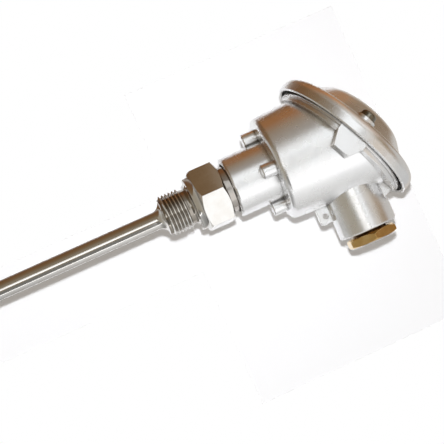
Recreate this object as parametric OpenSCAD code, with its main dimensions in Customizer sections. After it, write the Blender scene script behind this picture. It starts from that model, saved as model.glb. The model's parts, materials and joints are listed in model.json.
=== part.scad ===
// Resistance thermometer with a screw-in thermowell and a connection head.
// Millimetres. Z is the axis of the probe, up towards the head. The origin is
// the middle of the process thread. X points to the cable entry.

/* [Thermowell] */
// Diameter of the stem
stem_d = 9; // [8.5:0.1:9.6]
// Length from the sealing shoulder to the tip
immersion_len = 160; // [100:5:300]
// Diameter of the blind bore in the stem
stem_bore_d = 7; // [6.6:0.1:7.4]
// Solid length between the bore and the tip
tip_wall = 2.4; // [2:0.1:5]
// Radius of the fillet between stem and thread
stem_fillet = 4.6; // [4.4:0.1:4.7]
// Major diameter of the process thread
process_d = 20.955; // [20.5:0.005:21.5]
// Length of the process thread with both its chamfers
process_len = 13; // [11:0.5:16]
// Chamfer at both ends of the process thread
process_chamfer = 1.3; // [1:0.1:1.6]
// Diameter of the undercut above the thread
undercut_d = 18.2; // [17.8:0.1:18.6]
// Length of the undercut above the thread
undercut_len = 2.5; // [2.2:0.1:4]
// Fillet between the undercut and the sealing shoulder
undercut_fillet = 1.8; // [1:0.1:2.1]
// Diameter of the washer face under the hexagon
collar_d = 27.2; // [26:0.1:28]
// Length of the washer face
collar_len = 2.8; // [2:0.1:5]
// Width across the flats of the hexagon
hex_af = 30; // [29:0.5:32]
// Length of the hexagon
hex_len = 14.5; // [10:0.5:20]
// Angle that turns the hexagon round the axis
hex_turn = 25; // [0:1:60]
// Diameter of the plain part of the nipple
nipple_d = 23.6; // [23:0.1:23.8]
// Major diameter of the head thread
head_thread_d = 24; // [23.9:0.05:24.4]
// Length of the head thread
head_thread_len = 11; // [8:0.5:13]

/* [Head casting] */
// Gap between the hexagon and the neck
neck_gap = 3.4; // [1:0.2:5]
// Diameter of the neck
neck_d = 31; // [30:0.5:33]
// Length of the neck below the cup
neck_len = 22.2; // [19:0.2:30]
// Diameter of the wire passage above the head thread
passage_d = 17; // [12:0.5:19]
// Diameter of the four bosses round the neck
foot_boss_d = 7.4; // [7:0.1:8]
// Length of the four bosses
foot_boss_len = 7.2; // [6:0.1:12]
// Distance of the four bosses from the insert screws, outwards
foot_boss_out = 1.8; // [1.4:0.1:2.2]
// Outside diameter of the cup at its foot
cup_d = 54; // [53:0.5:56]
// Draft of the cup wall in degrees
cup_draft = 3.4; // [2.6:0.1:3.8]
// Wall of the cup
cup_wall = 3.4; // [2.8:0.1:3.6]
// Thickness of the cup floor
floor_t = 4; // [3.5:0.1:6]
// Rounding of the foot of the cup
cup_round = 3; // [1.5:0.1:3.6]
// Height of the lid's lower edge above the cup's foot, on the axis
lid_rise = 37.8; // [37:0.1:44]
// Slant of the lid in degrees
slant = 26; // [24:0.5:28]
// Offset of the lid towards the cable entry, along its slant
lid_shift = 1.5; // [0:0.1:2]
// Width of the web between the cable boss and the flange
web_w = 18; // [14:0.5:20]
// Diameter of the cable boss
cable_boss_d = 30; // [28:0.5:31]
// Height of the cable boss above the foot of the cup
cable_boss_rise = 33.3; // [32.6:0.1:34.4]
// Distance from the axis to the end of the cable boss
cable_boss_x = 47; // [45:0.5:60]

/* [Lug] */
// Width of the lug along the axis
lug_w = 7.4; // [6:0.1:9]
// Distance from the axis to the lug's outer edge
lug_x = 36.2; // [35.4:0.1:40]
// Thickness of the lug
lug_t = 3; // [2:0.1:5]
// Diameter of the hole in the lug
lug_hole_d = 3; // [2:0.1:4]

/* [Flange and lid] */
// Outside diameter of the lid's skirt
lid_d = 80.4; // [79:0.1:84]
// Thickness of the skirt
skirt_t = 1.8; // [1.4:0.1:2.2]
// Height of the straight wall of the skirt
skirt_h = 4; // [3.8:0.1:5]
// Rounding of the skirt's upper edge
skirt_round = 4.6; // [3.6:0.1:4.7]
// Height of the dome's foot above the skirt's lower edge
dome_foot_h = 9.4; // [9.2:0.1:10.4]
// Distance of the dome's foot from the lid's edge
lid_shoulder_w = 9.2; // [8.8:0.1:10]
// Slope of the dome's side in degrees
dome_slope = 41; // [39:0.5:45]
// Height of the dome above the skirt's lower edge
dome_h = 21.6; // [21:0.1:24]
// Radius of the dome's crown
crown_r = 62; // [54:0.5:80]
// Radius between the dome's side and its crown
knuckle_r = 16; // [8:0.5:20]
// Wall of the dome
dome_wall = 3; // [2:0.1:3.5]
// Height of the lid's seat above the skirt's lower edge
seat_h = 5.4; // [5:0.1:5.8]
// Gap between the skirt and the flange
skirt_gap = 1.6; // [1.2:0.1:2]
// Depth of the flange's edge below the skirt
flange_drop = 1.2; // [0.8:0.1:1.6]
// Depth of the step under the flange
flange_step = 2.1; // [1.6:0.1:2.6]
// Thickness of the gasket
gasket_t = 1.5; // [1:0.1:2.5]

/* [Lid screws] */
// Distance of the lid screws from the lid's edge
lid_screw_inset = 7.8; // [7.4:0.1:8.1]
// Shank diameter of the lid screws
lid_screw_d = 4; // [3:0.5:4]
// Head diameter of the lid screws
lid_screw_head_d = 8; // [7:0.1:8.4]
// Shank length of the lid screws
lid_screw_len = 16; // [13:0.5:18]
// Height of the screw pads above the skirt's lower edge
pad_h = 10; // [9.6:0.1:10.6]
// Diameter of the screw pads
pad_d = 10.4; // [10:0.1:11]
// Width of the screw bosses under the flange
screw_boss_w = 16; // [13:0.5:18]
// Depth of the screw bosses under the flange
screw_boss_h = 7.2; // [6:0.1:9]

/* [Cable gland] */
// Major diameter of the gland thread
gland_d = 20; // [19:0.5:20.5]
// Width across the flats of the gland screw
gland_af = 24; // [22:0.5:26]
// Height of the gland screw's hexagon
gland_hex_h = 5; // [4:0.1:8]
// Gap between the cable boss and the hexagon
gland_gap = 1.5; // [0.5:0.1:3]
// Diameter of the cable way through the gland screw
cable_way_d = 11; // [9:0.5:13]
// Length of the gland seal
seal_len = 6; // [4:0.5:7]
// Thickness of the two gland washers
gland_washer_t = 1; // [0.6:0.1:1.4]

/* [Measuring insert] */
// Outside diameter of the insert's sheath
sheath_d = 6; // [5:0.1:6.2]
// Wall of the sheath
sheath_wall = 0.5; // [0.4:0.05:0.8]
// Gap between the insert's plate and the cup's wall
plate_gap = 2.6; // [2:0.1:3.4]
// Thickness of the insert's plate
plate_t = 2; // [1.5:0.1:2.5]
// Distance of the insert screws from the plate's edge
insert_screw_inset = 4.5; // [4:0.1:5]
// Spring length between the plate and the screw head
spring_len = 11; // [10:0.5:13]
// Wire diameter of the springs
spring_wire = 0.7; // [0.5:0.05:0.8]
// Length of the sensing element
element_len = 15; // [8:1:25]
// Diameter of the sensing element
element_d = 3; // [2:0.1:3.2]

/* [Hidden] */
$fn = 96;

// Clearances
thread_clear = 0.05;
shank_clear = 0.1;
body_clear = 0.3;
weld_clear = 0.02;
slip = 0.01;

// Levels along the axis
shoulder_z = process_len / 2 + undercut_len;
tip_z = shoulder_z - immersion_len;
hex_z = shoulder_z + collar_len;
nipple_z = hex_z + hex_len;
neck_z = nipple_z + neck_gap;
neck_mouth = 1.6;
thread_z = neck_z + neck_mouth;
nipple_top_z = thread_z + head_thread_len;
cup_z = neck_z + neck_len;
floor_z = cup_z + floor_t;
lid_z = cup_z + lid_rise;
cable_z = cup_z + cable_boss_rise;
lug_sink = 1.3;
lug_top_z = cable_z - cable_boss_d / 2 + lug_sink;

// Heights in the lid's own frame, from the skirt's lower edge
flange_top_h = seat_h - gasket_t;
flange_r = lid_d / 2 - skirt_t - skirt_gap;
flange_step_r = flange_r - 1;
dome_foot_r = lid_d / 2 - lid_shoulder_w;
lid_screw_r = lid_d / 2 - lid_screw_inset;
crown_h = dome_h - crown_r;
side_out = sin(dome_slope);
side_up = cos(dome_slope);
knuckle_out = dome_foot_r * side_out + (dome_foot_h - crown_h) * side_up - knuckle_r;
knuckle_in = sqrt(pow(crown_r - knuckle_r, 2) - pow(knuckle_out, 2));
knuckle_x = knuckle_out * side_out - knuckle_in * side_up;
knuckle_h = crown_h + knuckle_out * side_up + knuckle_in * side_out;
knuckle_a = atan2(knuckle_h - crown_h, knuckle_x);
hole_rim = 0.8;
lid_hollow_r = lid_screw_r - lid_screw_d / 2 - hole_rim;
lid_washer_t = 0.8;
screw_seat_h = pad_h + lid_washer_t;
pan_h = 2.6;

// Cup
cup_slope = tan(cup_draft);
cup_top = lid_rise + lid_d / 2;
cup_in_r = cup_d / 2 - cup_wall;
inner_round = 1.5;

// Gland, along X
gland_depth = 14.5;
gland_seat_x = cable_boss_x - gland_depth;
washer_in_x = gland_seat_x + gland_washer_t;
seal_end_x = washer_in_x + seal_len;
gland_tip_x = seal_end_x + gland_washer_t;
gland_hex_x = cable_boss_x + gland_gap;
gland_turn = 10;

// Measuring insert
sheath_tip_z = tip_z + tip_wall + body_clear;
plate_z = floor_z + body_clear;
plate_top_z = plate_z + plate_t;
plate_d = 2 * (cup_in_r - plate_gap);
insert_pitch = plate_d - 2 * insert_screw_inset;
foot_boss_r = insert_pitch / 2 + foot_boss_out;
block_base_h = 4;
block_rise = 6;
block_top_z = plate_top_z + block_base_h + block_rise;
block_r = 14;
block_half_w = 11;
clamp_size = [7, 6.4, 4.6];
clamp_sink = 1.6;
clamp_at = [8.4, 5];
clamp_top_z = block_top_z - clamp_sink + clamp_size.z;
clamp_slot_h = 1.6;
clamp_slot_z = clamp_top_z - 2;
insert_screw_d = 4;
insert_head_d = 7;
spring_r = 2.9;
spring_turns = 6;
element_z = sheath_tip_z + 2;
element_end_z = element_z + element_len;
filling_z = element_end_z + 0.5;
wire_d = 0.5;
wire_r = 1.3;
wire_count = 4;
m3_d = 3;

// Earth terminal
earth_angle = 45;
earth_inset = 2;
earth_rise = 1.9;
earth_r = cup_in_r - earth_inset;
earth_ledge_d = 9;
earth_ledge_z = block_top_z + earth_rise;
earth_ledge_h = 8;
earth_top_z = earth_ledge_z + earth_ledge_h;
earth_clamp_t = 1;

// Points of an arc round [x, y], from angle a to angle b
function arc(x, y, r, a, b, n = 10) =
    [for (i = [0:n]) [x + r * cos(a + (b - a) * i / n), y + r * sin(a + (b - a) * i / n)]];

// Circumscribed radius of a hexagon
function corner_r(across_flats) = across_flats / 2 / cos(30);

// Places its children in the lid's frame
module on_lid() {
    translate([0, 0, lid_z])
        rotate([0, -slant, 0])
            translate([lid_shift, 0, 0])
                children();
}

// Places its children along X from the axis, at the height of the cable boss
module on_cable_axis(x = 0) {
    translate([x, 0, cable_z])
        rotate([0, 90, 0])
            children();
}

// A ring from its outer and inner diameters
module ring(outer_d, inner_d, h) {
    difference() {
        cylinder(d = outer_d, h = h);
        translate([0, 0, -slip])
            cylinder(d = inner_d, h = h + 2 * slip);
    }
}

// A hexagonal prism with both ends turned to a 30 degree chamfer
module turned_hex(across_flats, h) {
    big_r = corner_r(across_flats);
    face_r = across_flats / 2 * 0.96;
    drop = (big_r - face_r) * tan(30);
    intersection() {
        cylinder(r = big_r, h = h, $fn = 6);
        rotate_extrude()
            polygon([[0, 0], [face_r, 0], [big_r, drop], [big_r, h - drop], [face_r, h], [0, h]]);
    }
}

// A slotted pan-head screw with its seat at z = 0 and its shank below
module pan_screw(shank_d, head_d, head_h, length) {
    edge = head_h * 0.45;
    slot_w = shank_d * 0.3;
    slot_depth = head_h * 0.45;
    tip = shank_d * 0.12;
    difference() {
        rotate_extrude()
            polygon(concat(
                [[0, -length], [shank_d / 2 - tip, -length], [shank_d / 2, tip - length],
                 [shank_d / 2, 0], [head_d / 2, 0]],
                arc(head_d / 2 - edge, head_h - edge, edge, 0, 80, 6),
                [[0, head_h]]));
        translate([-head_d, -slot_w / 2, head_h - slot_depth])
            cube([2 * head_d, slot_w, head_h]);
    }
}

// ---- Thermowell -------------------------------------------------------

module thermowell() {
    stem_r = stem_d / 2;
    low_z = -process_len / 2;
    high_z = process_len / 2;
    tip_round = 1.2;
    flare_r = stem_r + stem_fillet;
    cone_d = passage_d - 3;
    cone_h = (cone_d - stem_bore_d) / 2;
    color("lightgray")
        difference() {
            union() {
                rotate_extrude()
                    polygon(concat(
                        [[0, tip_z]],
                        arc(stem_r - tip_round, tip_z + tip_round, tip_round, -90, 0, 5),
                        arc(flare_r, low_z - stem_fillet, stem_fillet, 180, 90, 12),
                        [[process_d / 2, low_z + process_chamfer],
                         [process_d / 2, high_z - process_chamfer],
                         [undercut_d / 2, high_z]],
                        arc(undercut_d / 2 + undercut_fillet, shoulder_z - undercut_fillet,
                            undercut_fillet, 180, 90, 8),
                        [[collar_d / 2 - 0.4, shoulder_z], [collar_d / 2, shoulder_z + 0.4],
                         [collar_d / 2, hex_z + 0.5], [0, hex_z + 0.5]]));
                translate([0, 0, hex_z])
                    rotate([0, 0, hex_turn])
                        turned_hex(hex_af, hex_len);
                nipple();
            }
            translate([0, 0, tip_z + tip_wall])
                cylinder(d = stem_bore_d, h = nipple_top_z - tip_z);
            translate([0, 0, nipple_top_z - cone_h])
                cylinder(d1 = stem_bore_d, d2 = cone_d + 2 * slip, h = cone_h + slip);
        }
}

// The nipple above the hexagon: a plain neck, then the head thread
module nipple() {
    chamfer = 1.2;
    rotate_extrude()
        polygon([[0, nipple_z - 1], [nipple_d / 2, nipple_z - 1], [nipple_d / 2, thread_z],
                 [head_thread_d / 2, thread_z], [head_thread_d / 2, nipple_top_z - chamfer],
                 [head_thread_d / 2 - chamfer, nipple_top_z], [0, nipple_top_z]]);
}

// ---- Head casting -----------------------------------------------------

module head_body() {
    color("silver")
        difference() {
            union() {
                neck();
                foot_bosses();
                cup();
                flange();
                for (side = [-1, 1])
                    screw_boss(side);
                cable_boss();
                boss_web();
                lug();
            }
            difference() {
                hollow();
                earth_ledge();
            }
            head_bores();
        }
}

module neck() {
    edge = 1;
    rotate_extrude()
        polygon(concat(
            [[0, neck_z]],
            arc(neck_d / 2 - edge, neck_z + edge, edge, -90, 0, 5),
            [[neck_d / 2, cup_z + 1], [0, cup_z + 1]]));
}

module foot_bosses() {
    edge = 0.5;
    for (angle = [0:90:270])
        rotate([0, 0, angle])
            translate([foot_boss_r, 0, cup_z - foot_boss_len])
                rotate_extrude()
                    polygon([[0, 0], [foot_boss_d / 2 - edge, 0], [foot_boss_d / 2, edge],
                             [foot_boss_d / 2, foot_boss_len + 1], [0, foot_boss_len + 1]]);
}

// The drafted cup, cut off under the gasket's plane
module cup() {
    r = cup_d / 2;
    intersection() {
        translate([0, 0, cup_z])
            rotate_extrude()
                polygon(concat(
                    [[0, 0]],
                    arc(r - cup_round, cup_round, cup_round, -90, 0, 8),
                    [[r + cup_top * cup_slope, cup_top], [0, cup_top]]));
        on_lid()
            translate([0, 0, flange_top_h - lid_d])
                cylinder(r = lid_d, h = lid_d);
    }
}

// The slanted flange with the step under its edge
module flange() {
    low = -flange_drop - flange_step;
    on_lid()
        rotate_extrude()
            polygon([[0, low], [flange_step_r, low], [flange_step_r, -flange_drop],
                     [flange_r, -flange_drop], [flange_r, flange_top_h - 0.5],
                     [flange_r - 0.5, flange_top_h], [0, flange_top_h]]);
}

// A tapered boss under the flange, on the side of the cup, for a lid screw
module screw_boss(side) {
    proud = 0.1;
    face_y = flange_r + proud;
    root_y = cup_d / 2 - cup_wall / 2;
    low = -flange_drop - flange_step;
    high = flange_top_h - 1;
    waist = low + 0.5;
    foot_w = screw_boss_w * 0.56;
    on_lid()
        scale([1, side, 1])
            translate([0, face_y, 0])
                rotate([90, 0, 0])
                    linear_extrude(height = face_y - root_y)
                        polygon([[-screw_boss_w / 2, high], [-screw_boss_w / 2, waist],
                                 [-foot_w / 2, low - screw_boss_h], [foot_w / 2, low - screw_boss_h],
                                 [screw_boss_w / 2, waist], [screw_boss_w / 2, high]]);
}

module cable_boss() {
    edge = 0.6;
    root_x = cup_d / 4;
    r = cable_boss_d / 2;
    on_cable_axis(root_x)
        rotate_extrude()
            polygon([[0, 0], [r, 0], [r, cable_boss_x - root_x - edge],
                     [r - edge, cable_boss_x - root_x], [0, cable_boss_x - root_x]]);
}

// The web that fills the corner between the cable boss and the flange
module boss_web() {
    inset = 2;
    depth = 8;
    low = -flange_drop - flange_step;
    root_x = cup_d / 2 - cup_wall;
    on_lid()
        translate([root_x, -web_w / 2, low - depth])
            cube([flange_step_r - inset - root_x, web_w, depth + 0.5]);
}

// The lug with its hole, between the cup and the cable boss
module lug() {
    corner = 1.5;
    root_x = cup_d / 2 - cup_wall / 2;
    low_z = lug_top_z - lug_w;
    translate([0, lug_t / 2, 0])
        rotate([90, 0, 0])
            linear_extrude(height = lug_t)
                polygon(concat(
                    [[root_x, lug_top_z], [root_x, low_z]],
                    arc(lug_x - corner, low_z + corner, corner, -90, 0, 6),
                    arc(lug_x - corner, lug_top_z - corner, corner, 0, 90, 6)));
}

// The space inside the cup, open at the slanted flange
module hollow() {
    low_r = cup_in_r + floor_t * cup_slope;
    h = cup_top - floor_t + 1;
    translate([0, 0, floor_z])
        rotate_extrude()
            polygon(concat(
                [[0, 0]],
                arc(low_r - inner_round, inner_round, inner_round, -90, 0, 5),
                [[low_r + h * cup_slope, h], [0, h]]));
}

// The ledge for the earth terminal, with a rib below it
module earth_ledge() {
    rib_t = 3;
    rib_h = 9;
    rotate([0, 0, earth_angle]) {
        translate([earth_r, 0, earth_ledge_z])
            cylinder(d = earth_ledge_d, h = earth_ledge_h);
        translate([plate_d / 2 + body_clear, -rib_t / 2, earth_ledge_z - rib_h])
            cube([cup_d / 2, rib_t, rib_h + slip]);
    }
}

module head_bores() {
    mouth_d = head_thread_d + 1.8;
    // Head thread and the wire passage above it
    translate([0, 0, neck_z - 1])
        cylinder(d = mouth_d, h = neck_mouth + 1);
    translate([0, 0, neck_z])
        cylinder(d = head_thread_d + 2 * thread_clear, h = neck_mouth + head_thread_len + 1);
    translate([0, 0, neck_z])
        cylinder(d = passage_d, h = neck_len + floor_t + 1);
    // Gland thread and its hole into the cup
    on_cable_axis(gland_seat_x)
        cylinder(d = gland_d + 2 * thread_clear, h = gland_depth + 1);
    on_cable_axis(cup_d / 4)
        cylinder(d = cable_way_d + 3, h = gland_seat_x);
    // Lug hole
    translate([lug_x - 3.8, lug_t, lug_top_z - lug_w / 2])
        rotate([90, 0, 0])
            cylinder(d = lug_hole_d, h = 2 * lug_t);
    // Tapped holes for the lid screws
    for (side = [-1, 1])
        on_lid()
            translate([0, side * lid_screw_r, screw_seat_h - lid_screw_len - 1])
                cylinder(d = lid_screw_d + 2 * thread_clear, h = lid_screw_len);
    // Tapped holes for the insert screws
    for (side = [-1, 1])
        translate([0, side * insert_pitch / 2, cup_z - foot_boss_len / 2 - 1])
            cylinder(d = insert_screw_d + 2 * thread_clear, h = foot_boss_len + floor_t);
    // Tapped hole for the earth screw
    rotate([0, 0, earth_angle])
        translate([earth_r, 0, earth_top_z - 7])
            cylinder(d = insert_screw_d + 2 * thread_clear, h = 8);
}

// ---- Lid --------------------------------------------------------------

module lid() {
    color("silver")
        on_lid()
            difference() {
                union() {
                    lid_shell();
                    for (side = [-1, 1])
                        translate([0, side * lid_screw_r, seat_h])
                            cylinder(d = pad_d, h = pad_h - seat_h);
                }
                for (side = [-1, 1])
                    translate([0, side * lid_screw_r, 0]) {
                        translate([0, 0, pad_h])
                            cylinder(d = pad_d, h = dome_h);
                        cylinder(d = lid_screw_d + 2 * shank_clear, h = pad_h + 1);
                    }
            }
}

// The turned section of the lid: skirt, rounded edge, slope and dome
module lid_shell() {
    r = lid_d / 2;
    in_r = r - skirt_t;
    lip = 0.5;
    slope_a = atan((dome_foot_h - skirt_h - skirt_round) / (r - skirt_round - dome_foot_r));
    side_a = 90 - dome_slope;
    inner_r = crown_r - dome_wall;
    bend_r = knuckle_r - dome_wall;
    eaves_h = knuckle_h + bend_r * side_up - (lid_hollow_r - knuckle_x - bend_r * side_out) * tan(dome_slope);
    rotate_extrude()
        polygon(concat(
            [[in_r + lip, 0], [r - lip, 0], [r, lip]],
            arc(r - skirt_round, skirt_h, skirt_round, 0, 90 - slope_a, 8),
            [[dome_foot_r, dome_foot_h]],
            arc(knuckle_x, knuckle_h, knuckle_r, side_a, knuckle_a, 8),
            arc(0, crown_h, crown_r, knuckle_a, 90, 10),
            arc(0, crown_h, inner_r, 90, knuckle_a, 8),
            arc(knuckle_x, knuckle_h, bend_r, knuckle_a, side_a, 6),
            [[lid_hollow_r, eaves_h], [lid_hollow_r, seat_h], [in_r, seat_h], [in_r, lip]]));
}

module lid_gasket() {
    margin = 0.8;
    color("dimgray")
        on_lid()
            translate([0, 0, flange_top_h])
                difference() {
                    ring(2 * (flange_r - margin), 2 * lid_hollow_r, gasket_t);
                    for (side = [-1, 1])
                        translate([0, side * lid_screw_r, -1])
                            cylinder(d = lid_screw_d + 0.8, h = gasket_t + 2);
                }
}

module lid_screw(side) {
    color("lightgray")
        on_lid()
            translate([0, side * lid_screw_r, screw_seat_h])
                pan_screw(lid_screw_d, lid_screw_head_d, pan_h, lid_screw_len);
}

module lid_screw_washers() {
    color("lightgray")
        on_lid()
            for (side = [-1, 1])
                translate([0, side * lid_screw_r, pad_h])
                    ring(lid_screw_head_d + 1, lid_screw_d + 2 * shank_clear, lid_washer_t);
}

// ---- Cable gland ------------------------------------------------------

module gland_screw() {
    color("lightgray")
        difference() {
            union() {
                on_cable_axis(gland_tip_x)
                    cylinder(d = gland_d, h = gland_hex_x - gland_tip_x + slip);
                on_cable_axis(gland_hex_x)
                    rotate([0, 0, 30 - gland_turn])
                        turned_hex(gland_af, gland_hex_h);
            }
            on_cable_axis(gland_tip_x - 1)
                cylinder(d = cable_way_d, h = gland_hex_x + gland_hex_h - gland_tip_x + 2);
        }
}

module gland_washer(x) {
    on_cable_axis(x)
        ring(gland_d - 0.6, cable_way_d + 1, gland_washer_t);
}

module gland_washer_outer() {
    color("lightgray")
        gland_washer(seal_end_x);
}

module gland_washer_inner() {
    color("lightgray")
        gland_washer(gland_seat_x);
}

module gland_seal() {
    color("dimgray")
        on_cable_axis(washer_in_x)
            ring(gland_d - 0.3, cable_way_d - 2, seal_len);
}

// ---- Measuring insert -------------------------------------------------

module insert_plate() {
    color("lightgray")
        difference() {
            translate([0, 0, plate_z])
                cylinder(d = plate_d, h = plate_t);
            translate([0, 0, plate_z - 1])
                cylinder(d = sheath_d + 2 * weld_clear, h = plate_t + 2);
            for (side = [-1, 1])
                translate([0, side * insert_pitch / 2, plate_z - 1])
                    cylinder(d = insert_screw_d + 2 * body_clear, h = plate_t + 2);
        }
}

module insert_sheath() {
    r = sheath_d / 2;
    in_r = r - sheath_wall;
    tip_round = 1.5;
    tip_t = 1;
    color("lightgray")
        rotate_extrude()
            polygon(concat(
                [[0, sheath_tip_z]],
                arc(r - tip_round, sheath_tip_z + tip_round, tip_round, -90, 0, 6),
                [[r, plate_top_z], [in_r, plate_top_z], [in_r, sheath_tip_z + tip_t],
                 [0, sheath_tip_z + tip_t]]));
}

module sheath_filling() {
    color("white")
        translate([0, 0, filling_z])
            difference() {
                cylinder(d = sheath_d - 2 * sheath_wall - 2 * weld_clear, h = plate_top_z - filling_z);
                for (i = [0:wire_count - 1])
                    rotate([0, 0, 45 + i * 90])
                        translate([wire_r, 0, -1])
                            cylinder(d = wire_d + 2 * thread_clear, h = plate_top_z - filling_z + 2);
            }
}

module sensing_element() {
    color("ivory")
        translate([0, 0, element_z])
            cylinder(d = element_d, h = element_len);
}

// Faces of a tube with its points in rings of so many sides
function tube_faces(rings, sides) = concat(
    [for (i = [0:rings - 2], k = [0:sides - 1])
        let (n = (k + 1) % sides)
        [i * sides + k, (i + 1) * sides + k, (i + 1) * sides + n, i * sides + n]],
    [[for (k = [0:sides - 1]) k], [for (k = [sides - 1:-1:0]) (rings - 1) * sides + k]]);

// A wire up along Z, bent over towards the angle a, then level
module bent_wire(low_z, level_z, level_len, a) {
    sides = 10;
    bend_steps = 5;
    bend_r = 3 * wire_d;
    path = concat(
        [[0, low_z, 0]],
        [for (i = [0:bend_steps])
            let (t = 90 * i / bend_steps)
            [bend_r * (1 - cos(t)), level_z - bend_r * (1 - sin(t)), t]],
        [[level_len, level_z, 90]]);
    points = [for (p = path, k = [0:sides - 1])
        let (b = 360 * k / sides, c = wire_d / 2 * cos(b))
        [p.x + c * cos(p.z), -wire_d / 2 * sin(b), p.y - c * sin(p.z)]];
    rotate([0, 0, a])
        polyhedron(points, tube_faces(len(path), sides));
}

module lead_wires() {
    start = wire_r * cos(45);
    end_in = 0.8;
    run_x = clamp_at.x - clamp_size.x / 2 + end_in - start;
    run_y = clamp_at.y - start;
    color("silver")
        for (sx = [-1, 1], sy = [-1, 1])
            translate([sx * start, sy * start, 0])
                bent_wire(element_end_z, clamp_slot_z, norm([run_x, run_y]),
                          atan2(sy * run_y, sx * run_x));
}

module terminal_block() {
    notch_d = 2 * spring_r + 2.4;
    color("ivory")
        difference() {
            union() {
                translate([0, 0, plate_top_z])
                    cylinder(d = plate_d - 1, h = block_base_h);
                translate([0, 0, plate_top_z])
                    intersection() {
                        cylinder(r = block_r, h = block_base_h + block_rise);
                        translate([-block_r, -block_half_w, 0])
                            cube([2 * block_r, 2 * block_half_w, block_base_h + block_rise]);
                    }
            }
            translate([0, 0, plate_top_z - 1])
                cylinder(d = 7, h = block_base_h + block_rise + 2);
            for (side = [-1, 1])
                translate([0, side * insert_pitch / 2, plate_top_z - 1])
                    cylinder(d = notch_d, h = block_base_h + block_rise + 2);
            for (sx = [-1, 1], sy = [-1, 1])
                translate([sx * clamp_at.x, sy * clamp_at.y, block_top_z])
                    cube([clamp_size.x + 0.1, clamp_size.y + 0.1, 2 * clamp_sink], center = true);
        }
}

module terminal_clamps() {
    color("gold")
        for (sx = [-1, 1], sy = [-1, 1])
            translate([sx * clamp_at.x, sy * clamp_at.y, clamp_top_z])
                difference() {
                    translate([-clamp_size.x / 2, -clamp_size.y / 2, -clamp_size.z])
                        cube(clamp_size);
                    translate([0, 0, clamp_slot_z - clamp_top_z])
                        cube([2 * clamp_size.x, 2.2, clamp_slot_h], center = true);
                    translate([0, 0, -clamp_size.z + 0.6])
                        cylinder(d = m3_d + 2 * thread_clear, h = clamp_size.z);
                }
}

module terminal_screws() {
    head_h = 1.8;
    color("lightgray")
        for (sx = [-1, 1], sy = [-1, 1])
            translate([sx * clamp_at.x, sy * clamp_at.y, clamp_top_z])
                pan_screw(m3_d, 5.4, head_h, clamp_size.z - 1);
}

module insert_screws() {
    head_z = plate_top_z + spring_len;
    length = head_z - cup_z + foot_boss_len / 2;
    color("lightgray")
        for (side = [-1, 1])
            translate([0, side * insert_pitch / 2, head_z])
                pan_screw(insert_screw_d, insert_head_d, pan_h, length);
}

// One helical spring along Z between two seats
module spring(r, wire, turns, length) {
    sides = 8;
    steps = 14;
    last = turns * steps;
    rise = length - wire - 2 * slip;
    points = [for (i = [0:last], k = [0:sides - 1])
        let (a = 360 * i / steps, b = 360 * k / sides, c = r + wire / 2 * cos(b))
        [c * cos(a), c * sin(a), wire / 2 + slip + rise * i / last + wire / 2 * sin(b)]];
    polyhedron(points, tube_faces(last + 1, sides));
}

module insert_springs() {
    color("lightgray")
        for (side = [-1, 1])
            translate([0, side * insert_pitch / 2, plate_top_z])
                spring(spring_r, spring_wire, spring_turns, spring_len);
}

// ---- Earth terminal ---------------------------------------------------

module earth_clamp() {
    size = 7;
    color("lightgray")
        rotate([0, 0, earth_angle])
            translate([earth_r - 0.4, 0, earth_top_z])
                difference() {
                    translate([-size / 2, -size / 2, 0])
                        cube([size, size, earth_clamp_t]);
                    translate([0.4, 0, -1])
                        cylinder(d = insert_screw_d + 2 * shank_clear, h = earth_clamp_t + 2);
                }
}

module earth_screw() {
    color("lightgray")
        rotate([0, 0, earth_angle])
            translate([earth_r, 0, earth_top_z + earth_clamp_t])
                pan_screw(insert_screw_d, insert_head_d, pan_h, 7);
}

thermowell();
head_body();
lid();
lid_gasket();
lid_screw(-1);  // lid_screw_near
lid_screw(1);  // lid_screw_far
lid_screw_washers();
gland_screw();
gland_washer_outer();
gland_seal();
gland_washer_inner();
insert_plate();
insert_sheath();
sheath_filling();
sensing_element();
lead_wires();
terminal_block();
terminal_clamps();
terminal_screws();
insert_screws();
insert_springs();
earth_clamp();
earth_screw();
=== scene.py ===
import json
import math

import bmesh
import bpy
from mathutils import Matrix, Vector


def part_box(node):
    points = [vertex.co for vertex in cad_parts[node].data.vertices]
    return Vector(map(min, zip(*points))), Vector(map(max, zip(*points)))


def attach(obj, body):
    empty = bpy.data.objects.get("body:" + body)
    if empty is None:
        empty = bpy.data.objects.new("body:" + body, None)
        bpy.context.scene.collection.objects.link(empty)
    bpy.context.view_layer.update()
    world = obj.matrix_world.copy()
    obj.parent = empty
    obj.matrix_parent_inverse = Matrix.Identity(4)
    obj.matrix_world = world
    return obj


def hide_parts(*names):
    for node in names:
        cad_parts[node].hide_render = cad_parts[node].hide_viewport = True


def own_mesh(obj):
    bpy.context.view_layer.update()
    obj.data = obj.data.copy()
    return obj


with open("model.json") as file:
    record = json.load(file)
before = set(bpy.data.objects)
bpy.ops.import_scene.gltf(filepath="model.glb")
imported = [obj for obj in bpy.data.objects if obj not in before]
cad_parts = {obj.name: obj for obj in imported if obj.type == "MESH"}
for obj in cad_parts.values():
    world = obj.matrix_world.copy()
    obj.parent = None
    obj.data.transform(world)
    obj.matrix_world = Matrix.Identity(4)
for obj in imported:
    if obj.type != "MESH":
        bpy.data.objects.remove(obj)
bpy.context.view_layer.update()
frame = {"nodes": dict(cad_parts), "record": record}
nodes = frame["nodes"]
mounts = {m["name"]: m for m in frame["record"]["mounts"]}

MM = 0.001
scene = bpy.context.scene


# ---- Meshes -----------------------------------------------------------

# Corners nearer than this are joined
WELD = 0.002 * MM

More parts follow.
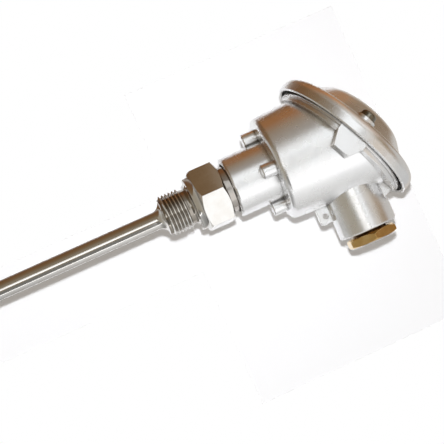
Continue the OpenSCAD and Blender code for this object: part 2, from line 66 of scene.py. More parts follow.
# A thread's ridge: half its foot and half its crest as shares of the pitch, how little the
# crest rises in the middle, and how deep the foot and the run-out ends sink below the root
HALF_FOOT_SHARE = 0.44
HALF_CREST_SHARE = 0.1
CREST_RISE = 0.02 * MM
FOOT_SINK = 0.05 * MM
END_SINK = 0.1 * MM
STEPS_A_TURN = 56


def merged_copy(node):
    """A joined-up copy of a CAD node's mesh, to be worked on as a new piece."""
    bm = bmesh.new()
    bm.from_mesh(nodes[node].data)
    bmesh.ops.remove_doubles(bm, verts=bm.verts, dist=WELD)
    return bm


def finish_piece(bm, name, body, slot, smooth_angle=18):
    """Turns a bmesh into a piece with smooth faces and sharp edges, and hangs it on its body."""
    mesh = bpy.data.meshes.new(name)
    bm.to_mesh(mesh)
    bm.free()
    mesh.shade_smooth()
    mesh.set_sharp_from_angle(angle=math.radians(smooth_angle))
    mesh.materials.append(finishes[slot])
    piece = bpy.data.objects.new(name, mesh)
    scene.collection.objects.link(piece)
    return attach(piece, body)


def pull_in(vert, limit):
    """Draws a corner towards the Z axis where it stands out past a radius."""
    r = math.hypot(vert.co.x, vert.co.y)
    if r > limit:
        vert.co.x *= limit / r
        vert.co.y *= limit / r


def cut_thread(bm, root_r, crest_r, pitch, low, high, chamfer, start=0.0, place=Matrix.Identity(4)):
    """Winds a V-shaped ridge round Z between two heights, tapered over a chamfer at both ends."""
    foot_r = root_r - FOOT_SINK
    shoulder_r = crest_r - CREST_RISE
    end_r = root_r - END_SINK
    half_foot = HALF_FOOT_SHARE * pitch
    half_crest = HALF_CREST_SHARE * pitch
    section = [(foot_r, -half_foot), (shoulder_r, -half_crest), (crest_r, 0.0),
               (shoulder_r, half_crest), (foot_r, half_foot)]
    first = low + half_foot
    rise = high - low - 2 * half_foot
    turns = rise / pitch
    steps = round(turns * STEPS_A_TURN)
    verts = [bm.verts.new((r * math.cos(start), r * math.sin(start), first + z))
             for r, z in section]
    face = bm.faces.new(verts)
    known = set(bm.verts) - set(verts)
    bmesh.ops.spin(bm, geom=[face, *face.edges, *face.verts], cent=(0, 0, 0), axis=(0, 0, 1),
                   dvec=(0, 0, rise / steps), angle=2 * math.pi * turns, steps=steps)
    wound = [v for v in bm.verts if v not in known]
    for v in wound:
        reach = min(v.co.z - low, high - v.co.z)
        pull_in(v, min(crest_r, end_r + reach * (crest_r - end_r) / chamfer))
    bmesh.ops.recalc_face_normals(bm, faces=list({f for v in wound for f in v.link_faces}))
    bmesh.ops.transform(bm, matrix=place, verts=wound)


# ---- Nodes and node groups --------------------------------------------

# Where the noise starts and ends to show in the grain's mask
GRAIN_SPREAD = (0.35, 0.65)

# How fast the mask of an edge fills as the normal turns
EDGE_GAIN = 4.0

# How open a place is where the painted shade in corners starts, and where it is full
CREVICE_SHADE_SPREAD = (0.85, 0.25)

EDGE_SAMPLES = 6
SKY_SAMPLES = 8


def math_node(tree, operation, a, b, clamp=False):
    node = tree.nodes.new("ShaderNodeMath")
    node.operation = operation
    node.use_clamp = clamp
    for socket, value in zip(node.inputs, (a, b)):
        if isinstance(value, (int, float)):
            socket.default_value = value
        else:
            tree.links.new(value, socket)
    return node.outputs[0]


def map_range(tree, value, start=(0.0, 1.0), end=(0.0, 1.0), smooth=False):
    """Carries a value from one range over to another."""
    node = tree.nodes.new("ShaderNodeMapRange")
    if smooth:
        node.interpolation_type = "SMOOTHSTEP"
    for label, bound in zip(("From Min", "From Max", "To Min", "To Max"), (*start, *end)):
        node.inputs[label].default_value = bound
    tree.links.new(value, node.inputs["Value"])
    return node.outputs["Result"]


def group(name, inputs, outputs):
    """An empty node group with named sockets, and its input and output nodes."""
    tree = bpy.data.node_groups.new(name, "ShaderNodeTree")
    for label, kind, value in inputs:
        socket = tree.interface.new_socket(label, in_out="INPUT", socket_type=kind)
        if value is not None:
            socket.default_value = value
    for label, kind in outputs:
        tree.interface.new_socket(label, in_out="OUTPUT", socket_type=kind)
    return tree, tree.nodes.new("NodeGroupInput"), tree.nodes.new("NodeGroupOutput")


def make_grain():
    """Grain of a surface: a mask of its patches, and its height. Spacing is in metres."""
    tree, given, made = group("grain", [
        ("Vector", "NodeSocketVector", None),
        ("Spacing", "NodeSocketFloat", 0.001),
        ("Detail", "NodeSocketFloat", 3.0),
    ], [("Mask", "NodeSocketFloat"), ("Height", "NodeSocketFloat")])
    density = math_node(tree, "DIVIDE", 1.0, given.outputs["Spacing"])
    noise = tree.nodes.new("ShaderNodeTexNoise")
    tree.links.new(given.outputs["Vector"], noise.inputs["Vector"])
    tree.links.new(density, noise.inputs["Scale"])
    tree.links.new(given.outputs["Detail"], noise.inputs["Detail"])
    mask = map_range(tree, noise.outputs["Fac"], start=GRAIN_SPREAD, smooth=True)
    tree.links.new(mask, made.inputs["Mask"])
    tree.links.new(noise.outputs["Fac"], made.inputs["Height"])
    return tree


def make_soft_edges():
    """Rounded edges and roots: a normal that turns over each edge, and a mask of the edge."""
    tree, given, made = group("soft_edges", [
        ("Radius", "NodeSocketFloat", 0.0005),
    ], [("Normal", "NodeSocketVector"), ("Edge", "NodeSocketFloat")])
    bevel = tree.nodes.new("ShaderNodeBevel")
    bevel.samples = EDGE_SAMPLES
    tree.links.new(given.outputs["Radius"], bevel.inputs["Radius"])
    geometry = tree.nodes.new("ShaderNodeNewGeometry")
    dot = tree.nodes.new("ShaderNodeVectorMath")
    dot.operation = "DOT_PRODUCT"
    tree.links.new(bevel.outputs["Normal"], dot.inputs[0])
    tree.links.new(geometry.outputs["Normal"], dot.inputs[1])
    turned_away = math_node(tree, "SUBTRACT", 1.0, dot.outputs["Value"])
    mask = math_node(tree, "MULTIPLY", turned_away, EDGE_GAIN, clamp=True)
    tree.links.new(bevel.outputs["Normal"], made.inputs["Normal"])
    tree.links.new(mask, made.inputs["Edge"])
    return tree


def make_crevice_shade():
    """A mask of the corners and gaps within a reach in metres, where shade is painted into the
    colour.
    """
    tree, given, made = group("crevices", [
        ("Reach", "NodeSocketFloat", 0.002),
    ], [("Mask", "NodeSocketFloat")])
    # Painted shade: ambient occlusion makes the mask that darkens corners and gaps
    open_sky = tree.nodes.new("ShaderNodeAmbientOcclusion")
    open_sky.samples = SKY_SAMPLES
    tree.links.new(given.outputs["Reach"], open_sky.inputs["Distance"])
    mask = map_range(tree, open_sky.outputs["AO"], start=CREVICE_SHADE_SPREAD, smooth=True)
    tree.links.new(mask, made.inputs["Mask"])
    return tree


GRAIN = make_grain()
SOFT_EDGES = make_soft_edges()
CREVICE_SHADE = make_crevice_shade()


# ---- Materials --------------------------------------------------------

# How much of the gland's thread shows outside the cable entry
SHOWN_THREAD = 1.5 * MM


class Finish:
    """A Principled material under construction."""

    def __init__(self, name, metallic=0.0):
        self.material = bpy.data.materials.new(name)
        self.material.use_nodes = True
        self.tree = self.material.node_tree
        self.shader = self.tree.nodes["Principled BSDF"]
        self.shader.inputs["Metallic"].default_value = metallic
        self.place = self.tree.nodes.new("ShaderNodeTexCoord").outputs["Object"]

    def use_group(self, tree, **values):
        """A node group in this material, with its own values."""
        node = self.tree.nodes.new("ShaderNodeGroup")
        node.node_tree = tree
        for label, value in values.items():
            node.inputs[label].default_value = value
        return node

    def grain(self, spacing, detail, vector=None):
        node = self.use_group(GRAIN, Spacing=spacing, Detail=detail)
        self.tree.links.new(vector or self.place, node.inputs["Vector"])
        return node.outputs

    def soft_edges(self, radius):
        return self.use_group(SOFT_EDGES, Radius=radius).outputs

    def crevices(self, reach, most):
        """The mask of painted shade in the crevices, from nothing up to a strength."""
        node = self.use_group(CREVICE_SHADE, Reach=reach)
        return self.span(node.outputs["Mask"], 0, most)

    def stretched(self, scale):
        """Object coordinates stretched along each axis."""
        mapping = self.tree.nodes.new("ShaderNodeMapping")
        mapping.inputs["Scale"].default_value = scale
        self.tree.links.new(self.place, mapping.inputs["Vector"])
        return mapping.outputs["Vector"]

    def coordinates(self):
        split = self.tree.nodes.new("ShaderNodeSeparateXYZ")
        self.tree.links.new(self.place, split.inputs[0])
        return split.outputs

    def mix(self, mask, base, colour):
        """Mixes by a mask from a base, plain or already made, to a plain colour."""
        node = self.tree.nodes.new("ShaderNodeMix")
        node.data_type = "RGBA"
        if isinstance(base, tuple):
            node.inputs["A"].default_value = (*base, 1)
        else:
            self.tree.links.new(base, node.inputs["A"])
        node.inputs["B"].default_value = (*colour, 1)
        self.tree.links.new(mask, node.inputs["Factor"])
        return node.outputs["Result"]

    def span(self, mask, low, high):
        """A mask made a value between two others."""
        return map_range(self.tree, mask, end=(low, high))

    def bump(self, height, depth, normal=None):
        """Relief of so many metres."""
        node = self.tree.nodes.new("ShaderNodeBump")
        node.inputs["Strength"].default_value = 1.0
        node.inputs["Distance"].default_value = depth
        self.tree.links.new(height, node.inputs["Height"])
        if normal is not None:
            self.tree.links.new(normal, node.inputs["Normal"])
        return node.outputs["Normal"]

    def groove(self, root_r, crest_r, half_length, below):
        """A mask of a thread's roots round Z, full at the root and a little below it."""
        tree = self.tree
        x, y, z = self.coordinates()
        across = math_node(tree, "ADD", math_node(tree, "MULTIPLY", x, x),
                           math_node(tree, "MULTIPLY", y, y))
        radius = math_node(tree, "SQRT", across, 0.0)
        depth = map_range(tree, radius, start=(root_r, crest_r), end=(1.0, 0.0))
        inside = math_node(tree, "LESS_THAN", math_node(tree, "ABSOLUTE", z, 0.0), half_length)
        outside = math_node(tree, "GREATER_THAN", radius, root_r - below)
        mask = math_node(tree, "MULTIPLY", inside, outside)
        return math_node(tree, "MULTIPLY", mask, depth)

    def feed(self, **sockets):
        """Links outputs to the shader and gives the finished material."""
        for label, output in sockets.items():
            self.tree.links.new(output, self.shader.inputs[label.replace("_", " ")])
        return self.material


def head_paint():
    """Satin silver paint on a casting: metal flakes, a slight skin and painted shade in the
    corners.
    """
    paint = Finish("satin_silver_paint", metallic=1.0)
    edges = paint.soft_edges(0.4 * MM)
    patches = paint.grain(9 * MM, 2)
    flakes = paint.grain(0.22 * MM, 2)
    skin = paint.grain(1.1 * MM, 2)
    tint = paint.mix(patches["Mask"], (0.83, 0.83, 0.835), (0.87, 0.87, 0.87))
    tint = paint.mix(paint.span(flakes["Mask"], 0, 0.25), tint, (0.74, 0.74, 0.75))
    # Painted shade: corners and gaps darkened towards dark grey
    tint = paint.mix(paint.crevices(2.2 * MM, 0.75), tint, (0.22, 0.21, 0.20))
    normal = paint.bump(skin["Height"], 0.012 * MM, edges["Normal"])
    normal = paint.bump(flakes["Height"], 0.006 * MM, normal)
    rough = paint.span(patches["Mask"], 0.24, 0.29)
    return paint.feed(Base_Color=tint, Roughness=rough, Normal=normal)


def turned_metal(name, light, dark, rough, stretch, edge, extra=None):
    """Metal with turning lines, faint stains and painted shade in the crevices. Extra adds to the
    colour.
    """
    metal = Finish(name, metallic=1.0)
    edges = metal.soft_edges(edge)
    lines = metal.grain(0.35 * MM, 2, metal.stretched(stretch))
    stains = metal.grain(6 * MM, 4)
    tint = metal.mix(stains["Mask"], dark, light)
    # Painted shade: corners and gaps darkened towards dark brown
    tint = metal.mix(metal.crevices(1.2 * MM, 0.7), tint, (0.14, 0.11, 0.08))
    if extra:
        tint = extra(metal, tint)
    normal = metal.bump(lines["Height"], 0.0006 * MM, edges["Normal"])
    return metal.feed(Base_Color=tint, Roughness=metal.span(lines["Mask"], *rough), Normal=normal)


def painted_root_and_nipple_shade(steel, tint):
    """Painted shade in the thread's roots and relief, and on the nipple above the hexagon where it
    goes into the neck.
    """
    root_shade = steel.groove(9.32 * MM, 9.95 * MM, half_length=9.5 * MM, below=0.4 * MM)
    nipple = math_node(steel.tree, "GREATER_THAN", steel.coordinates()[2], 26.6 * MM)
    # Painted shade: the roots darken towards grey-brown, and the nipple darkens past 26.6 mm
    tint = steel.mix(root_shade, tint, (0.36, 0.33, 0.29))
    return steel.mix(nipple, tint, (0.44, 0.41, 0.38))


def gland_wear_and_gap_shade(metal, tint):
    """The gland's end face rubbed pale, and its thread in the gap behind the hexagon painted dark
    as shade.
    """
    x = metal.coordinates()[0]
    end_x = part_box("gland_screw")[1].x - 0.5 * MM
    thread_x = mounts["cable_entry"]["pos_m"][0] + SHOWN_THREAD
    end = math_node(metal.tree, "GREATER_THAN", x, end_x)
    thread = math_node(metal.tree, "LESS_THAN", x, thread_x)
    tint = metal.mix(end, tint, (0.70, 0.66, 0.64))
    # Painted shade: the thread between the cable entry and the hexagon darkened
    return metal.mix(thread, tint, (0.26, 0.18, 0.12))


def gasket_rubber():
    """Matt black rubber."""
    rubber = Finish("gasket_rubber")
    patches = rubber.grain(2 * MM, 3)
    tint = rubber.mix(patches["Mask"], (0.045, 0.045, 0.045), (0.08, 0.08, 0.078))
    return rubber.feed(Base_Color=tint, Roughness=rubber.span(patches["Mask"], 0.55, 0.75),
                       Normal=rubber.bump(patches["Height"], 0.03 * MM))


def ceramic():
    """Unglazed ceramic with pores and paler edges."""
    body = Finish("unglazed_ceramic")
    edges = body.soft_edges(0.3 * MM)
    patches = body.grain(3 * MM, 4)
    pores = body.grain(0.4 * MM, 2)
    tint = body.mix(patches["Mask"], (0.80, 0.77, 0.69), (0.87, 0.85, 0.79))
    tint = body.mix(body.span(edges["Edge"], 0, 0.3), tint, (0.9, 0.89, 0.85))
    return body.feed(Base_Color=tint, Roughness=body.span(pores["Mask"], 0.55, 0.7),
                     Normal=body.bump(pores["Height"], 0.02 * MM, edges["Normal"]))


finishes = {
    "head_paint": head_paint(),
    "stainless": turned_metal(
        "turned_stainless", light=(0.74, 0.73, 0.71), dark=(0.71, 0.69, 0.66),
        rough=(0.10, 0.14), stretch=(1.0, 1.0, 0.02), edge=0.25 * MM, extra=painted_root_and_nipple_shade),
    # The screws' dark colour is painted shade: it stands in for the lid screws' recess and the dark
    # surroundings they reflect
    "plated_screw": turned_metal(
        "plated_screw", light=(0.23, 0.21, 0.17), dark=(0.17, 0.15, 0.12),
        rough=(0.04, 0.09), stretch=(1.0, 1.0, 1.0), edge=0.15 * MM),
    "plated_gland": turned_metal(
        "plated_gland", light=(0.80, 0.58, 0.28), dark=(0.70, 0.47, 0.19),
        rough=(0.12, 0.20), stretch=(1.0, 0.3, 0.3), edge=0.3 * MM, extra=gland_wear_and_gap_shade),
    "bare_wire": turned_metal(
        "bare_wire", light=(0.72, 0.70, 0.66), dark=(0.6, 0.58, 0.54),
        rough=(0.25, 0.35), stretch=(1.0, 1.0, 0.2), edge=0.1 * MM),
    "brass": turned_metal(
        "machined_brass", light=(0.80, 0.62, 0.30), dark=(0.66, 0.48, 0.20),
        rough=(0.22, 0.34), stretch=(1.0, 1.0, 0.3), edge=0.2 * MM),
    "spring_steel": turned_metal(
        "spring_steel", light=(0.5, 0.5, 0.5), dark=(0.36, 0.36, 0.37),
        rough=(0.24, 0.36), stretch=(1.0, 1.0, 1.0), edge=0.1 * MM),
    "gasket_rubber": gasket_rubber(),
    "ceramic": ceramic(),
}

for part in frame["record"]["subparts"]:
    for slot in nodes[part["node"]].material_slots:
        slot.material = finishes[part["material_slot"]]


# ---- Threads and springs ----------------------------------------------

# The process thread: 14 turns to the inch, its depth as a share of the pitch, its length each
# way from the middle less what the ridge doesn't cover, its chamfer, and its start as an angle
PIPE_PITCH = 25.4 / 14 * MM
PIPE_DEPTH_SHARE = 0.64
PIPE_HALF_LENGTH = 6.5 * MM
PIPE_BARE_END = 0.2 * MM
PIPE_CHAMFER = 1.5 * MM
PIPE_START = 0.6

# The gland's metric thread in the same way, what counts as on its crest, and how far the
# gland is screwed in, as an angle from the CAD's
GLAND_PITCH = 1.5 * MM
GLAND_DEPTH_SHARE = 0.6
GLAND_CREST_R = 10 * MM
GLAND_CHAMFER = 0.6 * MM
ON_CREST = 0.02 * MM
GLAND_TURN = math.radians(13)


def threaded_thermowell():
    """The thermowell with its pipe thread."""
    crest_r = mounts["process_thread"]["dims"]["r_mm"] * MM
    root_r = crest_r - PIPE_DEPTH_SHARE * PIPE_PITCH
    half = PIPE_HALF_LENGTH
    bm = merged_copy("thermowell")
    for v in bm.verts:
        if abs(v.co.z) < half - PIPE_BARE_END:
            pull_in(v, root_r)
    cut_thread(bm, root_r, crest_r, PIPE_PITCH, -half, half, PIPE_CHAMFER, start=PIPE_START)
    piece = finish_piece(bm, "threaded_thermowell", "housing", "stainless")
    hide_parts("thermowell")


def threaded_gland():
    """The gland screw with its metric thread, seen in the gap behind the hexagon."""
    entry = mounts["cable_entry"]["pos_m"]
    axis_z = entry[2]
    low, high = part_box("gland_screw")
    root_r = GLAND_CREST_R - GLAND_DEPTH_SHARE * GLAND_PITCH
    bm = merged_copy("gland_screw")
    for v in bm.verts:
        y, z = v.co.y, v.co.z - axis_z
        r = math.hypot(y, z)
        if abs(r - GLAND_CREST_R) < ON_CREST:
            v.co.y = y * root_r / r
            v.co.z = axis_z + z * root_r / r
    length = entry[0] + SHOWN_THREAD - low.x
    along_x = Matrix.Translation((low.x, 0, axis_z)) @ Matrix.Rotation(math.radians(90), 4, "Y")
    cut_thread(bm, root_r, GLAND_CREST_R, GLAND_PITCH, 0, length, GLAND_CHAMFER, place=along_x)
    bmesh.ops.rotate(bm, cent=(0, 0, axis_z), matrix=Matrix.Rotation(GLAND_TURN, 3, "X"),
                     verts=bm.verts)
    piece = finish_piece(bm, "threaded_gland_screw", "gland", "plated_gland")
    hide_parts("gland_screw")


def plate_springs():
    """The two springs over the plate, as a piece with its own mesh; in the real head they shorten
    to their screw heads as the insert rises.
    """
    bm = merged_copy("insert_springs")
    piece = finish_piece(bm, "plate_springs", "housing", "spring_steel", smooth_angle=40)
    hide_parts("insert_springs")
    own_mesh(piece)


threaded_thermowell()
threaded_gland()
plate_springs()


# ---- Camera -----------------------------------------------------------

TILT = math.radians(6.2)
ROLL = math.radians(24.15)
AIM = Vector((13.77, 0, 19.07)) * MM
DISTANCE = 670 * MM
SENSOR_WIDTH = 36
LENS_LENGTH = SENSOR_WIDTH * 1348 / 444

along_probe = Vector((0, -math.sin(TILT), math.cos(TILT)))
across_probe = Vector((1, 0, 0))
away = Vector((0, math.cos(TILT), math.sin(TILT)))
right = math.cos(ROLL) * along_probe + math.sin(ROLL) * across_probe
up = math.sin(ROLL) * along_probe - math.cos(ROLL) * across_probe


def turned(place, x_axis, y_axis):
    """A placing with these two directions as its X and Y."""
    z_axis = x_axis.cross(y_axis)
    return Matrix.Translation(place) @ Matrix((x_axis, y_axis, z_axis)).transposed().to_4x4()


camera_data = bpy.data.cameras.new("camera")
camera_data.sensor_width = SENSOR_WIDTH
camera_data.lens = LENS_LENGTH
camera = bpy.data.objects.new("camera", camera_data)
camera.matrix_world = turned(AIM - DISTANCE * away, right, up)
scene.collection.objects.link(camera)
scene.camera = camera


# ---- Floor ------------------------------------------------------------

# The paper's own colour, and what it gives off to be white beside its shadow
PAPER_COLOUR = (0.9, 0.9, 0.9)
PAPER_GLOW = 0.17


def sheet_of(name, place, x_axis, y_axis, width, height, material):
    """A flat sheet that isn't part of the object."""
    bm = bmesh.new()
    bmesh.ops.create_grid(bm, x_segments=1, y_segments=1, size=0.5)
    bmesh.ops.scale(bm, vec=(width, height, 1), verts=bm.verts)
    bmesh.ops.transform(bm, matrix=turned(place, x_axis, y_axis), verts=bm.verts)
    mesh = bpy.data.meshes.new(name)
    bm.to_mesh(mesh)
    bm.free()
    mesh.materials.append(material)
    sheet = bpy.data.objects.new(name, mesh)
    scene.collection.objects.link(sheet)
    return sheet


def rays_that_see(tree):
    """One for rays from the camera, off shiny surfaces and through clear ones."""
    path = tree.nodes.new("ShaderNodeLightPath")
    seen = math_node(tree, "MAXIMUM", path.outputs["Is Camera Ray"], path.outputs["Is Glossy Ray"])
    return math_node(tree, "MAXIMUM", seen, path.outputs["Is Transmission Ray"])


def white_paper():
    """White under the object, with its shadow, and clear from behind."""
    material = bpy.data.materials.new("white_paper")
    material.use_nodes = True
    tree = material.node_tree
    links = tree.links
    paper = tree.nodes["Principled BSDF"]
    paper.inputs["Base Color"].default_value = (*PAPER_COLOUR, 1)
    paper.inputs["Roughness"].default_value = 1.0
    paper.inputs["Specular IOR Level"].default_value = 0.0
    glow = tree.nodes.new("ShaderNodeEmission")
    links.new(math_node(tree, "MULTIPLY", rays_that_see(tree), PAPER_GLOW), glow.inputs["Strength"])
    both = tree.nodes.new("ShaderNodeAddShader")
    links.new(paper.outputs[0], both.inputs[0])
    links.new(glow.outputs[0], both.inputs[1])
    clear = tree.nodes.new("ShaderNodeBsdfTransparent")
    geometry = tree.nodes.new("ShaderNodeNewGeometry")
    side = tree.nodes.new("ShaderNodeMixShader")
    links.new(geometry.outputs["Backfacing"], side.inputs["Fac"])
    links.new(both.outputs[0], side.inputs[1])
    links.new(clear.outputs[0], side.inputs[2])
    links.new(side.outputs[0], tree.nodes["Material Output"].inputs["Surface"])
    return material


def paper_sheet(name, left, right, depth, bottom, top):
    """A sheet of white paper behind the probe, given in millimetres."""
    middle = Vector(((left + right) / 2, depth, (bottom + top) / 2)) * MM
    sheet_of(name, middle, Vector((0, 0, 1)), Vector((-1, 0, 0)),
             (top - bottom) * MM, (right - left) * MM, WHITE_PAPER)


WHITE_PAPER = white_paper()
paper_sheet("head_paper", left=-68, right=110, depth=42, bottom=4, top=125)
paper_sheet("stem_paper", left=-12, right=34, depth=50, bottom=-175, top=9)


# ---- Cards that the metal reflects ------------------------------------

# Where the cards stand, in metres: beside the probe, in front of it, behind it, and past its
# two ends
LEFT_X, RIGHT_X, STRIP_X = -0.3, 0.33, 0.32
CEILING_Y, UNDER_CEILING_Y = -0.8, -0.79
BACK_Y = 0.5
TIP_Z, LID_Z = -0.45, 0.45

ORANGE_BROWN = (0.34, 0.15, 0.058)
KHAKI = (0.39, 0.35, 0.28)


def grey(level):
    return (level, level, level)


def gradient(tree, place, axis, tones):
    """A colour that changes along one axis, given as places in metres and their colours."""
    split = tree.nodes.new("ShaderNodeSeparateXYZ")
    tree.links.new(place, split.inputs[0])
    start, end = tones[0][0], tones[-1][0]
    ramp = tree.nodes.new("ShaderNodeValToRGB")
    stops = ramp.color_ramp.elements
    for number, (at, tint) in enumerate(tones):
        stop = stops[number] if number < 2 else stops.new(1.0)
        stop.position = (at - start) / (end - start)
        stop.color = (*tint, 1)
    tree.links.new(map_range(tree, split.outputs[axis], start=(start, end)), ramp.inputs["Fac"])
    return ramp.outputs["Color"]


def card_material(name, tint, axis, falloff):
    """A glow that is even, or has tones along one axis and may fall off along Z."""
    material = bpy.data.materials.new(name)
    material.use_nodes = True
    tree = material.node_tree
    glow = tree.nodes.new("ShaderNodeEmission")
    glow.inputs["Strength"].default_value = 1.0
    if axis is None:
        glow.inputs["Color"].default_value = (*tint, 1)
    else:
        place = tree.nodes.new("ShaderNodeTexCoord").outputs["Object"]
        tree.links.new(gradient(tree, place, axis, tint), glow.inputs["Color"])
        if falloff:
            levels = [(at, grey(level)) for at, level in falloff]
            tree.links.new(gradient(tree, place, "Z", levels), glow.inputs["Strength"])
    tree.links.new(glow.outputs[0], tree.nodes["Material Output"].inputs["Surface"])
    return material


def card(name, low, high, tint, axis=None, falloff=()):
    """A flat card between two corners that share one coordinate, seen in shiny surfaces only."""
    material = card_material(name, tint, axis, falloff)
    low, high = Vector(low), Vector(high)
    flat = min(range(3), key=lambda n: abs(high[n] - low[n]))
    first, second = [n for n in range(3) if n != flat]
    x_axis, y_axis = Vector((0, 0, 0)), Vector((0, 0, 0))
    x_axis[first] = y_axis[second] = 1
    sheet = sheet_of(name, (low + high) / 2, x_axis, y_axis,
                     high[first] - low[first], high[second] - low[second], material)
    for kind in ("camera", "diffuse", "transmission", "volume_scatter", "shadow"):
        setattr(sheet, "visible_" + kind, False)


card("upper_card", (LEFT_X, -0.40, 0.06), (LEFT_X, 0.45, 0.8),
     [(-0.4, (0.45, 0.42, 0.38)), (-0.28, (0.37, 0.34, 0.31)), (-0.11, (0.33, 0.26, 0.19)),
      (0.02, ORANGE_BROWN), (0.1, ORANGE_BROWN), (0.2, (0.22, 0.11, 0.05)),
      (0.45, (0.2, 0.11, 0.055))],
     axis="Y", falloff=[(0.06, 1.0), (0.2, 1.0), (0.4, 1.8)])
card("dark_card", (LEFT_X, -0.40, -0.7), (LEFT_X, 0.45, 0.06),
     [(-0.4, (0.26, 0.22, 0.16)), (-0.11, (0.205, 0.125, 0.062)), (0.1, (0.18, 0.09, 0.04)),
      (0.2, (0.2, 0.12, 0.08)), (0.32, (0.42, 0.36, 0.31)), (0.45, (0.48, 0.46, 0.44))],
     axis="Y")
card("tip_card", (-0.35, -0.68, TIP_Z), (0.3, 0.4, TIP_Z),
     [(-0.68, KHAKI), (-0.25, KHAKI), (-0.05, (0.44, 0.41, 0.36)),
      (0.12, (0.54, 0.54, 0.52)), (0.4, (0.54, 0.54, 0.52))],
     axis="Y")
card("lid_card", (-0.5, -0.7, LID_Z), (0.02, 0.7, LID_Z),
     [(-0.7, (0.95, 0.94, 0.9)), (-0.5, (0.95, 0.94, 0.9)), (-0.2, (0.62, 0.5, 0.42)),
      (0.06, (0.32, 0.24, 0.17)), (0.14, (0.24, 0.17, 0.11)), (0.23, (0.28, 0.20, 0.13)),
      (0.35, (0.42, 0.33, 0.25)), (0.5, (0.64, 0.59, 0.54)), (0.7, (0.66, 0.62, 0.57))],
     axis="Y")
card("boss_card", (0.02, -0.7, LID_Z), (0.3, 0.7, LID_Z),
     [(-0.7, (0.55, 0.5, 0.44)), (-0.44, (0.52, 0.46, 0.39)), (-0.25, (0.36, 0.28, 0.19)),
      (-0.13, (0.34, 0.24, 0.15)), (-0.06, (0.5, 0.46, 0.42)), (0.0, (0.62, 0.6, 0.57)),
      (0.7, (0.62, 0.6, 0.57))],
     axis="Y")
card("back_card", (-0.6, BACK_Y, -0.7), (-0.04, BACK_Y, 0.2), (0.16, 0.09, 0.045))
card("pale_back", (-0.04, BACK_Y, -0.7), (RIGHT_X, BACK_Y, 0.2), (0.75, 0.74, 0.72))
card("top_back", (-0.6, BACK_Y, 0.2), (RIGHT_X, BACK_Y, 0.8), (0.64, 0.59, 0.53))
card("ceiling", (-0.75, CEILING_Y, 0.02), (RIGHT_X, CEILING_Y, 0.3),
     [(0.02, (1.15, 1.18, 1.19)), (0.2, (1.15, 1.18, 1.19)),
      (0.24, (1.48, 1.51, 1.53)), (0.3, (1.48, 1.51, 1.53))],
     axis="Z")
card("far_ceiling", (-0.75, CEILING_Y, 0.3), (RIGHT_X, CEILING_Y, 0.7),
     [(0.3, grey(0.52)), (0.37, (0.54, 0.53, 0.51)),
      (0.45, (0.64, 0.57, 0.49)), (0.7, (0.64, 0.57, 0.49))],
     axis="Z")
card("dim_ceiling", (-0.75, CEILING_Y, -0.7), (RIGHT_X, CEILING_Y, 0.02), (0.28, 0.23, 0.165))
card("slit", (-0.2, UNDER_CEILING_Y, -0.25), (-0.03, UNDER_CEILING_Y, 0.02), (1.15, 1.13, 1.1))
card("band", (-0.03, UNDER_CEILING_Y, -0.54), (0.12, UNDER_CEILING_Y, 0.06),
     [(-0.54, (0.5, 0.52, 0.5)), (-0.36, (0.55, 0.57, 0.55)),
      (-0.22, (1.8, 1.8, 1.78)), (0.06, (1.8, 1.8, 1.78))],
     axis="Z")
card("left_shade", (-0.75, UNDER_CEILING_Y, 0.02), (-0.42, UNDER_CEILING_Y, 0.12),
     (0.12, 0.09, 0.06))
card("right_shade", (-0.13, UNDER_CEILING_Y, 0.06), (0.2, UNDER_CEILING_Y, 0.12),
     (0.16, 0.14, 0.11))
card("holder", (0.05, UNDER_CEILING_Y, 0.225), (0.16, UNDER_CEILING_Y, 0.5), (0.58, 0.57, 0.55))
card("low_window", (RIGHT_X, CEILING_Y, 0.0), (RIGHT_X, -0.17, 0.12), grey(1.38))
card("window", (RIGHT_X, CEILING_Y, 0.12), (RIGHT_X, -0.17, 0.33), grey(1.25))
card("shade_card", (RIGHT_X, CEILING_Y, -0.7), (RIGHT_X, -0.17, 0.0), (0.22, 0.215, 0.2))
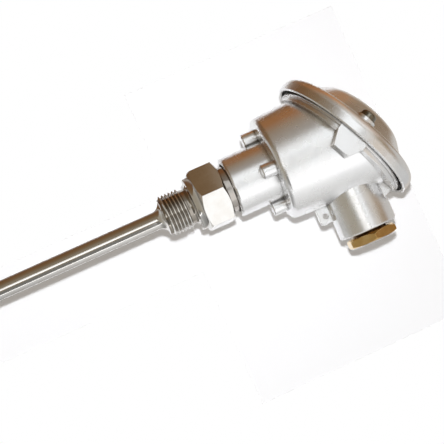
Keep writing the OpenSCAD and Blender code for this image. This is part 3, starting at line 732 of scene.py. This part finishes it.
card("lower_card", (RIGHT_X, -0.17, -0.7), (RIGHT_X, BACK_Y, 0.33),
     [(-0.17, grey(1.02)), (-0.05, (0.85, 0.85, 0.84)), (0.1, (0.68, 0.675, 0.66)),
      (0.3, (0.57, 0.565, 0.55)), (0.5, (0.53, 0.52, 0.5))],
     axis="Y", falloff=[(-0.25, 0.5), (-0.05, 1.0), (0.33, 1.0)])
card("rim_card", (RIGHT_X, CEILING_Y, 0.33), (RIGHT_X, BACK_Y, 0.7),
     [(-0.8, (0.72, 0.60, 0.48)), (-0.45, (0.66, 0.56, 0.45)), (-0.25, (0.50, 0.44, 0.38)),
      (-0.1, (0.54, 0.51, 0.47)), (0.08, (0.62, 0.62, 0.61)), (0.5, grey(0.6))],
     axis="Y")
card("strip", (STRIP_X, -0.18, -0.7), (STRIP_X, -0.135, 0.0), grey(2))


# ---- Light ------------------------------------------------------------

# The room's light on dull surfaces
ROOM_LEVEL = 0.22
ROOM_TINT = (1.0, 0.88, 0.74)

# A small disk of light just above the lens, in metres
DISK_RISE = 0.052
DISK_SIZE = 0.022


def studio_world():
    """White to look at, and a dim warm light on dull surfaces."""
    world = bpy.data.worlds.new("studio")
    scene.world = world
    world.use_nodes = True
    tree = world.node_tree
    tint = tree.nodes.new("ShaderNodeMix")
    tint.data_type = "RGBA"
    tint.inputs["A"].default_value = (*(ROOM_LEVEL * c for c in ROOM_TINT), 1)
    tint.inputs["B"].default_value = (*grey(1), 1)
    tree.links.new(rays_that_see(tree), tint.inputs["Factor"])
    tree.links.new(tint.outputs["Result"], tree.nodes["Background"].inputs["Color"])


def disk_lamp(name, watts, tint):
    """A round lamp by the camera, aimed where it looks."""
    place = camera.matrix_world.translation + DISK_RISE * up
    light = bpy.data.lights.new(name, "AREA")
    light.shape = "DISK"
    light.size = DISK_SIZE
    light.energy = watts
    light.color = tint
    lamp = bpy.data.objects.new(name, light)
    lamp.location = place
    lamp.rotation_mode = "QUATERNION"
    lamp.rotation_quaternion = (AIM - place).to_track_quat("-Z", "Y")
    scene.collection.objects.link(lamp)
    return lamp


studio_world()
# The flash lights dull surfaces, and only the weak glint shows in shiny ones
disk_lamp("flash", 3.75, (0.97, 1.0, 1.055)).visible_glossy = False
disk_lamp("glint", 0.03, grey(1)).visible_diffuse = False

scene.view_settings.view_transform = "Standard"
